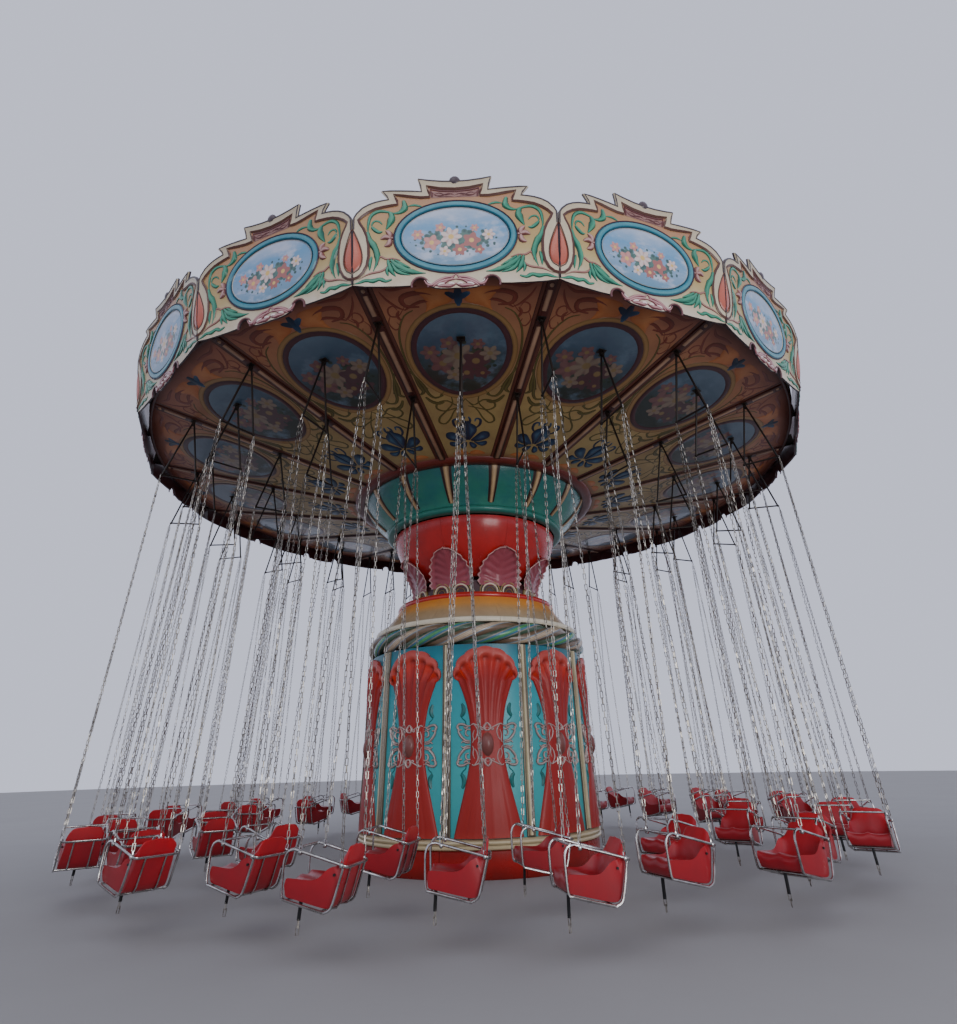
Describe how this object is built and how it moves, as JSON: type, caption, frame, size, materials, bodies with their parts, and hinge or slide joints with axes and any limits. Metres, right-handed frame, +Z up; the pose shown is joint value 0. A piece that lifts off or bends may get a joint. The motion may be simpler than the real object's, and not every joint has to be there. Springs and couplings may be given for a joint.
{
  "type": "chair swing ride",
  "caption": "Classic chair swing ride: a clad column, a lifting and turning panelled canopy, and chairs hung on chains.",
  "frame": {"origin": "on the floor, under the middle of the round plinth", "axes": "+Z up along the mast, -Y towards the front bay"},
  "size_m": [14.4934, 14.4934, 8.55],
  "materials": {
    "red_paint": "satin",
    "turquoise_paint": "satin",
    "rope_paint": "satin",
    "tan_paint": "satin",
    "cream_paint": "satin",
    "gold_paint": "satin gold",
    "leaf_paint": "gloss",
    "red_gloss": "gloss",
    "green_gloss": "high gloss",
    "ceiling_paint": "satin",
    "picture_paint": "satin, painted design",
    "board_paint": "satin",
    "roof_sheet": "matt",
    "dark_steel": "matt",
    "chair_paint": "gloss",
    "chain_steel": "galvanised",
    "sleeve_rubber": "matt"
  },
  "bodies": {
    "base": {"base_plinth": "red_paint", "column_cladding": "turquoise_paint", "rope_moulding": "rope_paint", "stepped_cap": "tan_paint"},
    "lift": {"lift_mast": "dark_steel", "leaf_collar": "leaf_paint", "red_bowl": "red_gloss"},
    "canopy": {"green_bowl": "green_gloss", "ceiling": "ceiling_paint", "canopy_frame": "dark_steel", "rounding_boards": "board_paint", "canopy_roof": "roof_sheet"},
    "outer_chair_01_body": {"outer_chair_01": "chair_paint"},
    "outer_chair_02_body": {"outer_chair_02": "chair_paint"},
    "outer_chair_03_body": {"outer_chair_03": "chair_paint"},
    "outer_chair_04_body": {"outer_chair_04": "chair_paint"},
    "outer_chair_05_body": {"outer_chair_05": "chair_paint"},
    "outer_chair_06_body": {"outer_chair_06": "chair_paint"},
    "outer_chair_07_body": {"outer_chair_07": "chair_paint"},
    "outer_chair_08_body": {"outer_chair_08": "chair_paint"},
    "outer_chair_09_body": {"outer_chair_09": "chair_paint"},
    "outer_chair_10_body": {"outer_chair_10": "chair_paint"},
    "outer_chair_11_body": {"outer_chair_11": "chair_paint"},
    "outer_chair_12_body": {"outer_chair_12": "chair_paint"},
    "outer_chair_13_body": {"outer_chair_13": "chair_paint"},
    "outer_chair_14_body": {"outer_chair_14": "chair_paint"},
    "outer_chair_15_body": {"outer_chair_15": "chair_paint"},
    "outer_chair_16_body": {"outer_chair_16": "chair_paint"},
    "middle_chair_01_body": {"middle_chair_01": "chair_paint"},
    "middle_chair_02_body": {"middle_chair_02": "chair_paint"},
    "middle_chair_03_body": {"middle_chair_03": "chair_paint"},
    "middle_chair_04_body": {"middle_chair_04": "chair_paint"},
    "middle_chair_05_body": {"middle_chair_05": "chair_paint"},
    "middle_chair_06_body": {"middle_chair_06": "chair_paint"},
    "middle_chair_07_body": {"middle_chair_07": "chair_paint"},
    "middle_chair_08_body": {"middle_chair_08": "chair_paint"},
    "middle_chair_09_body": {"middle_chair_09": "chair_paint"},
    "middle_chair_10_body": {"middle_chair_10": "chair_paint"},
    "middle_chair_11_body": {"middle_chair_11": "chair_paint"},
    "middle_chair_12_body": {"middle_chair_12": "chair_paint"},
    "middle_chair_13_body": {"middle_chair_13": "chair_paint"},
    "middle_chair_14_body": {"middle_chair_14": "chair_paint"},
    "middle_chair_15_body": {"middle_chair_15": "chair_paint"},
    "middle_chair_16_body": {"middle_chair_16": "chair_paint"},
    "inner_chair_01_body": {"inner_chair_01": "chair_paint"},
    "inner_chair_02_body": {"inner_chair_02": "chair_paint"},
    "inner_chair_03_body": {"inner_chair_03": "chair_paint"},
    "inner_chair_04_body": {"inner_chair_04": "chair_paint"},
    "inner_chair_05_body": {"inner_chair_05": "chair_paint"},
    "inner_chair_06_body": {"inner_chair_06": "chair_paint"},
    "inner_chair_07_body": {"inner_chair_07": "chair_paint"},
    "inner_chair_08_body": {"inner_chair_08": "chair_paint"},
    "inner_chair_09_body": {"inner_chair_09": "chair_paint"},
    "inner_chair_10_body": {"inner_chair_10": "chair_paint"},
    "inner_chair_11_body": {"inner_chair_11": "chair_paint"},
    "inner_chair_12_body": {"inner_chair_12": "chair_paint"},
    "inner_chair_13_body": {"inner_chair_13": "chair_paint"},
    "inner_chair_14_body": {"inner_chair_14": "chair_paint"},
    "inner_chair_15_body": {"inner_chair_15": "chair_paint"},
    "inner_chair_16_body": {"inner_chair_16": "chair_paint"}
  },
  "joints": [
    {"name": "mast_lift", "type": "slide", "parent": "base", "child": "lift", "axis": [0, 0, 1], "range_m": [0, 2.2]},
    {"name": "canopy_spin", "type": "hinge", "parent": "lift", "child": "canopy", "pos_m": [0, 0, 6], "axis": [0, 0, 1], "continuous": true},
    {"name": "outer_swing_01", "type": "hinge", "parent": "canopy", "child": "outer_chair_01_body", "pos_m": [1.1901, -5.9828, 6.9592], "axis": [-0.9808, -0.1951, 0], "range_deg": [-5, 45]},
    {"name": "outer_swing_02", "type": "hinge", "parent": "canopy", "child": "outer_chair_02_body", "pos_m": [3.389, -5.072, 6.9592], "axis": [-0.8315, -0.5556, 0], "range_deg": [-5, 45]},
    {"name": "outer_swing_03", "type": "hinge", "parent": "canopy", "child": "outer_chair_03_body", "pos_m": [5.072, -3.389, 6.9592], "axis": [-0.5556, -0.8315, 0], "range_deg": [-5, 45]},
    {"name": "outer_swing_04", "type": "hinge", "parent": "canopy", "child": "outer_chair_04_body", "pos_m": [5.9828, -1.1901, 6.9592], "axis": [-0.1951, -0.9808, 0], "range_deg": [-5, 45]},
    {"name": "outer_swing_05", "type": "hinge", "parent": "canopy", "child": "outer_chair_05_body", "pos_m": [5.9828, 1.1901, 6.9592], "axis": [0.1951, -0.9808, 0], "range_deg": [-5, 45]},
    {"name": "outer_swing_06", "type": "hinge", "parent": "canopy", "child": "outer_chair_06_body", "pos_m": [5.072, 3.389, 6.9592], "axis": [0.5556, -0.8315, 0], "range_deg": [-5, 45]},
    {"name": "outer_swing_07", "type": "hinge", "parent": "canopy", "child": "outer_chair_07_body", "pos_m": [3.389, 5.072, 6.9592], "axis": [0.8315, -0.5556, 0], "range_deg": [-5, 45]},
    {"name": "outer_swing_08", "type": "hinge", "parent": "canopy", "child": "outer_chair_08_body", "pos_m": [1.1901, 5.9828, 6.9592], "axis": [0.9808, -0.1951, 0], "range_deg": [-5, 45]},
    {"name": "outer_swing_09", "type": "hinge", "parent": "canopy", "child": "outer_chair_09_body", "pos_m": [-1.1901, 5.9828, 6.9592], "axis": [0.9808, 0.1951, 0], "range_deg": [-5, 45]},
    {"name": "outer_swing_10", "type": "hinge", "parent": "canopy", "child": "outer_chair_10_body", "pos_m": [-3.389, 5.072, 6.9592], "axis": [0.8315, 0.5556, 0], "range_deg": [-5, 45]},
    {"name": "outer_swing_11", "type": "hinge", "parent": "canopy", "child": "outer_chair_11_body", "pos_m": [-5.072, 3.389, 6.9592], "axis": [0.5556, 0.8315, 0], "range_deg": [-5, 45]},
    {"name": "outer_swing_12", "type": "hinge", "parent": "canopy", "child": "outer_chair_12_body", "pos_m": [-5.9828, 1.1901, 6.9592], "axis": [0.1951, 0.9808, 0], "range_deg": [-5, 45]},
    {"name": "outer_swing_13", "type": "hinge", "parent": "canopy", "child": "outer_chair_13_body", "pos_m": [-5.9828, -1.1901, 6.9592], "axis": [-0.1951, 0.9808, 0], "range_deg": [-5, 45]},
    {"name": "outer_swing_14", "type": "hinge", "parent": "canopy", "child": "outer_chair_14_body", "pos_m": [-5.072, -3.389, 6.9592], "axis": [-0.5556, 0.8315, 0], "range_deg": [-5, 45]},
    {"name": "outer_swing_15", "type": "hinge", "parent": "canopy", "child": "outer_chair_15_body", "pos_m": [-3.389, -5.072, 6.9592], "axis": [-0.8315, 0.5556, 0], "range_deg": [-5, 45]},
    {"name": "outer_swing_16", "type": "hinge", "parent": "canopy", "child": "outer_chair_16_body", "pos_m": [-1.1901, -5.9828, 6.9592], "axis": [-0.9808, 0.1951, 0], "range_deg": [-5, 45]},
    {"name": "middle_swing_01", "type": "hinge", "parent": "canopy", "child": "middle_chair_01_body", "pos_m": [0, -5.67, 6.8883], "axis": [-1, 0, 0], "range_deg": [-5, 45]},
    {"name": "middle_swing_02", "type": "hinge", "parent": "canopy", "child": "middle_chair_02_body", "pos_m": [2.1698, -5.2384, 6.8883], "axis": [-0.9239, -0.3827, 0], "range_deg": [-5, 45]},
    {"name": "middle_swing_03", "type": "hinge", "parent": "canopy", "child": "middle_chair_03_body", "pos_m": [4.0093, -4.0093, 6.8883], "axis": [-0.7071, -0.7071, 0], "range_deg": [-5, 45]},
    {"name": "middle_swing_04", "type": "hinge", "parent": "canopy", "child": "middle_chair_04_body", "pos_m": [5.2384, -2.1698, 6.8883], "axis": [-0.3827, -0.9239, 0], "range_deg": [-5, 45]},
    {"name": "middle_swing_05", "type": "hinge", "parent": "canopy", "child": "middle_chair_05_body", "pos_m": [5.67, 0, 6.8883], "axis": [0, -1, 0], "range_deg": [-5, 45]},
    {"name": "middle_swing_06", "type": "hinge", "parent": "canopy", "child": "middle_chair_06_body", "pos_m": [5.2384, 2.1698, 6.8883], "axis": [0.3827, -0.9239, 0], "range_deg": [-5, 45]},
    {"name": "middle_swing_07", "type": "hinge", "parent": "canopy", "child": "middle_chair_07_body", "pos_m": [4.0093, 4.0093, 6.8883], "axis": [0.7071, -0.7071, 0], "range_deg": [-5, 45]},
    {"name": "middle_swing_08", "type": "hinge", "parent": "canopy", "child": "middle_chair_08_body", "pos_m": [2.1698, 5.2384, 6.8883], "axis": [0.9239, -0.3827, 0], "range_deg": [-5, 45]},
    {"name": "middle_swing_09", "type": "hinge", "parent": "canopy", "child": "middle_chair_09_body", "pos_m": [0, 5.67, 6.8883], "axis": [1, 0, 0], "range_deg": [-5, 45]},
    {"name": "middle_swing_10", "type": "hinge", "parent": "canopy", "child": "middle_chair_10_body", "pos_m": [-2.1698, 5.2384, 6.8883], "axis": [0.9239, 0.3827, 0], "range_deg": [-5, 45]},
    {"name": "middle_swing_11", "type": "hinge", "parent": "canopy", "child": "middle_chair_11_body", "pos_m": [-4.0093, 4.0093, 6.8883], "axis": [0.7071, 0.7071, 0], "range_deg": [-5, 45]},
    {"name": "middle_swing_12", "type": "hinge", "parent": "canopy", "child": "middle_chair_12_body", "pos_m": [-5.2384, 2.1698, 6.8883], "axis": [0.3827, 0.9239, 0], "range_deg": [-5, 45]},
    {"name": "middle_swing_13", "type": "hinge", "parent": "canopy", "child": "middle_chair_13_body", "pos_m": [-5.67, 0, 6.8883], "axis": [0, 1, 0], "range_deg": [-5, 45]},
    {"name": "middle_swing_14", "type": "hinge", "parent": "canopy", "child": "middle_chair_14_body", "pos_m": [-5.2384, -2.1698, 6.8883], "axis": [-0.3827, 0.9239, 0], "range_deg": [-5, 45]},
    {"name": "middle_swing_15", "type": "hinge", "parent": "canopy", "child": "middle_chair_15_body", "pos_m": [-4.0093, -4.0093, 6.8883], "axis": [-0.7071, 0.7071, 0], "range_deg": [-5, 45]},
    {"name": "middle_swing_16", "type": "hinge", "parent": "canopy", "child": "middle_chair_16_body", "pos_m": [-2.1698, -5.2384, 6.8883], "axis": [-0.9239, 0.3827, 0], "range_deg": [-5, 45]},
    {"name": "inner_swing_01", "type": "hinge", "parent": "canopy", "child": "inner_chair_01_body", "pos_m": [0.8721, -4.3841, 6.6903], "axis": [-0.9808, -0.1951, 0], "range_deg": [-5, 45]},
    {"name": "inner_swing_02", "type": "hinge", "parent": "canopy", "child": "inner_chair_02_body", "pos_m": [2.4834, -3.7167, 6.6903], "axis": [-0.8315, -0.5556, 0], "range_deg": [-5, 45]},
    {"name": "inner_swing_03", "type": "hinge", "parent": "canopy", "child": "inner_chair_03_body", "pos_m": [3.7167, -2.4834, 6.6903], "axis": [-0.5556, -0.8315, 0], "range_deg": [-5, 45]},
    {"name": "inner_swing_04", "type": "hinge", "parent": "canopy", "child": "inner_chair_04_body", "pos_m": [4.3841, -0.8721, 6.6903], "axis": [-0.1951, -0.9808, 0], "range_deg": [-5, 45]},
    {"name": "inner_swing_05", "type": "hinge", "parent": "canopy", "child": "inner_chair_05_body", "pos_m": [4.3841, 0.8721, 6.6903], "axis": [0.1951, -0.9808, 0], "range_deg": [-5, 45]},
    {"name": "inner_swing_06", "type": "hinge", "parent": "canopy", "child": "inner_chair_06_body", "pos_m": [3.7167, 2.4834, 6.6903], "axis": [0.5556, -0.8315, 0], "range_deg": [-5, 45]},
    {"name": "inner_swing_07", "type": "hinge", "parent": "canopy", "child": "inner_chair_07_body", "pos_m": [2.4834, 3.7167, 6.6903], "axis": [0.8315, -0.5556, 0], "range_deg": [-5, 45]},
    {"name": "inner_swing_08", "type": "hinge", "parent": "canopy", "child": "inner_chair_08_body", "pos_m": [0.8721, 4.3841, 6.6903], "axis": [0.9808, -0.1951, 0], "range_deg": [-5, 45]},
    {"name": "inner_swing_09", "type": "hinge", "parent": "canopy", "child": "inner_chair_09_body", "pos_m": [-0.8721, 4.3841, 6.6903], "axis": [0.9808, 0.1951, 0], "range_deg": [-5, 45]},
    {"name": "inner_swing_10", "type": "hinge", "parent": "canopy", "child": "inner_chair_10_body", "pos_m": [-2.4834, 3.7167, 6.6903], "axis": [0.8315, 0.5556, 0], "range_deg": [-5, 45]},
    {"name": "inner_swing_11", "type": "hinge", "parent": "canopy", "child": "inner_chair_11_body", "pos_m": [-3.7167, 2.4834, 6.6903], "axis": [0.5556, 0.8315, 0], "range_deg": [-5, 45]},
    {"name": "inner_swing_12", "type": "hinge", "parent": "canopy", "child": "inner_chair_12_body", "pos_m": [-4.3841, 0.8721, 6.6903], "axis": [0.1951, 0.9808, 0], "range_deg": [-5, 45]},
    {"name": "inner_swing_13", "type": "hinge", "parent": "canopy", "child": "inner_chair_13_body", "pos_m": [-4.3841, -0.8721, 6.6903], "axis": [-0.1951, 0.9808, 0], "range_deg": [-5, 45]},
    {"name": "inner_swing_14", "type": "hinge", "parent": "canopy", "child": "inner_chair_14_body", "pos_m": [-3.7167, -2.4834, 6.6903], "axis": [-0.5556, 0.8315, 0], "range_deg": [-5, 45]},
    {"name": "inner_swing_15", "type": "hinge", "parent": "canopy", "child": "inner_chair_15_body", "pos_m": [-2.4834, -3.7167, 6.6903], "axis": [-0.8315, 0.5556, 0], "range_deg": [-5, 45]},
    {"name": "inner_swing_16", "type": "hinge", "parent": "canopy", "child": "inner_chair_16_body", "pos_m": [-0.8721, -4.3841, 6.6903], "axis": [-0.9808, 0.1951, 0], "range_deg": [-5, 45]}
  ],
  "couplings": [
    {"joint": "outer_swing_02", "follows": "outer_swing_01", "ratio": 1},
    {"joint": "outer_swing_03", "follows": "outer_swing_01", "ratio": 1},
    {"joint": "outer_swing_04", "follows": "outer_swing_01", "ratio": 1},
    {"joint": "outer_swing_05", "follows": "outer_swing_01", "ratio": 1},
    {"joint": "outer_swing_06", "follows": "outer_swing_01", "ratio": 1},
    {"joint": "outer_swing_07", "follows": "outer_swing_01", "ratio": 1},
    {"joint": "outer_swing_08", "follows": "outer_swing_01", "ratio": 1},
    {"joint": "outer_swing_09", "follows": "outer_swing_01", "ratio": 1},
    {"joint": "outer_swing_10", "follows": "outer_swing_01", "ratio": 1},
    {"joint": "outer_swing_11", "follows": "outer_swing_01", "ratio": 1},
    {"joint": "outer_swing_12", "follows": "outer_swing_01", "ratio": 1},
    {"joint": "outer_swing_13", "follows": "outer_swing_01", "ratio": 1},
    {"joint": "outer_swing_14", "follows": "outer_swing_01", "ratio": 1},
    {"joint": "outer_swing_15", "follows": "outer_swing_01", "ratio": 1},
    {"joint": "outer_swing_16", "follows": "outer_swing_01", "ratio": 1},
    {"joint": "middle_swing_01", "follows": "outer_swing_01", "ratio": 1},
    {"joint": "middle_swing_02", "follows": "outer_swing_01", "ratio": 1},
    {"joint": "middle_swing_03", "follows": "outer_swing_01", "ratio": 1},
    {"joint": "middle_swing_04", "follows": "outer_swing_01", "ratio": 1},
    {"joint": "middle_swing_05", "follows": "outer_swing_01", "ratio": 1},
    {"joint": "middle_swing_06", "follows": "outer_swing_01", "ratio": 1},
    {"joint": "middle_swing_07", "follows": "outer_swing_01", "ratio": 1},
    {"joint": "middle_swing_08", "follows": "outer_swing_01", "ratio": 1},
    {"joint": "middle_swing_09", "follows": "outer_swing_01", "ratio": 1},
    {"joint": "middle_swing_10", "follows": "outer_swing_01", "ratio": 1},
    {"joint": "middle_swing_11", "follows": "outer_swing_01", "ratio": 1},
    {"joint": "middle_swing_12", "follows": "outer_swing_01", "ratio": 1},
    {"joint": "middle_swing_13", "follows": "outer_swing_01", "ratio": 1},
    {"joint": "middle_swing_14", "follows": "outer_swing_01", "ratio": 1},
    {"joint": "middle_swing_15", "follows": "outer_swing_01", "ratio": 1},
    {"joint": "middle_swing_16", "follows": "outer_swing_01", "ratio": 1},
    {"joint": "inner_swing_01", "follows": "outer_swing_01", "ratio": 1},
    {"joint": "inner_swing_02", "follows": "outer_swing_01", "ratio": 1},
    {"joint": "inner_swing_03", "follows": "outer_swing_01", "ratio": 1},
    {"joint": "inner_swing_04", "follows": "outer_swing_01", "ratio": 1},
    {"joint": "inner_swing_05", "follows": "outer_swing_01", "ratio": 1},
    {"joint": "inner_swing_06", "follows": "outer_swing_01", "ratio": 1},
    {"joint": "inner_swing_07", "follows": "outer_swing_01", "ratio": 1},
    {"joint": "inner_swing_08", "follows": "outer_swing_01", "ratio": 1},
    {"joint": "inner_swing_09", "follows": "outer_swing_01", "ratio": 1},
    {"joint": "inner_swing_10", "follows": "outer_swing_01", "ratio": 1},
    {"joint": "inner_swing_11", "follows": "outer_swing_01", "ratio": 1},
    {"joint": "inner_swing_12", "follows": "outer_swing_01", "ratio": 1},
    {"joint": "inner_swing_13", "follows": "outer_swing_01", "ratio": 1},
    {"joint": "inner_swing_14", "follows": "outer_swing_01", "ratio": 1},
    {"joint": "inner_swing_15", "follows": "outer_swing_01", "ratio": 1},
    {"joint": "inner_swing_16", "follows": "outer_swing_01", "ratio": 1}
  ]
}
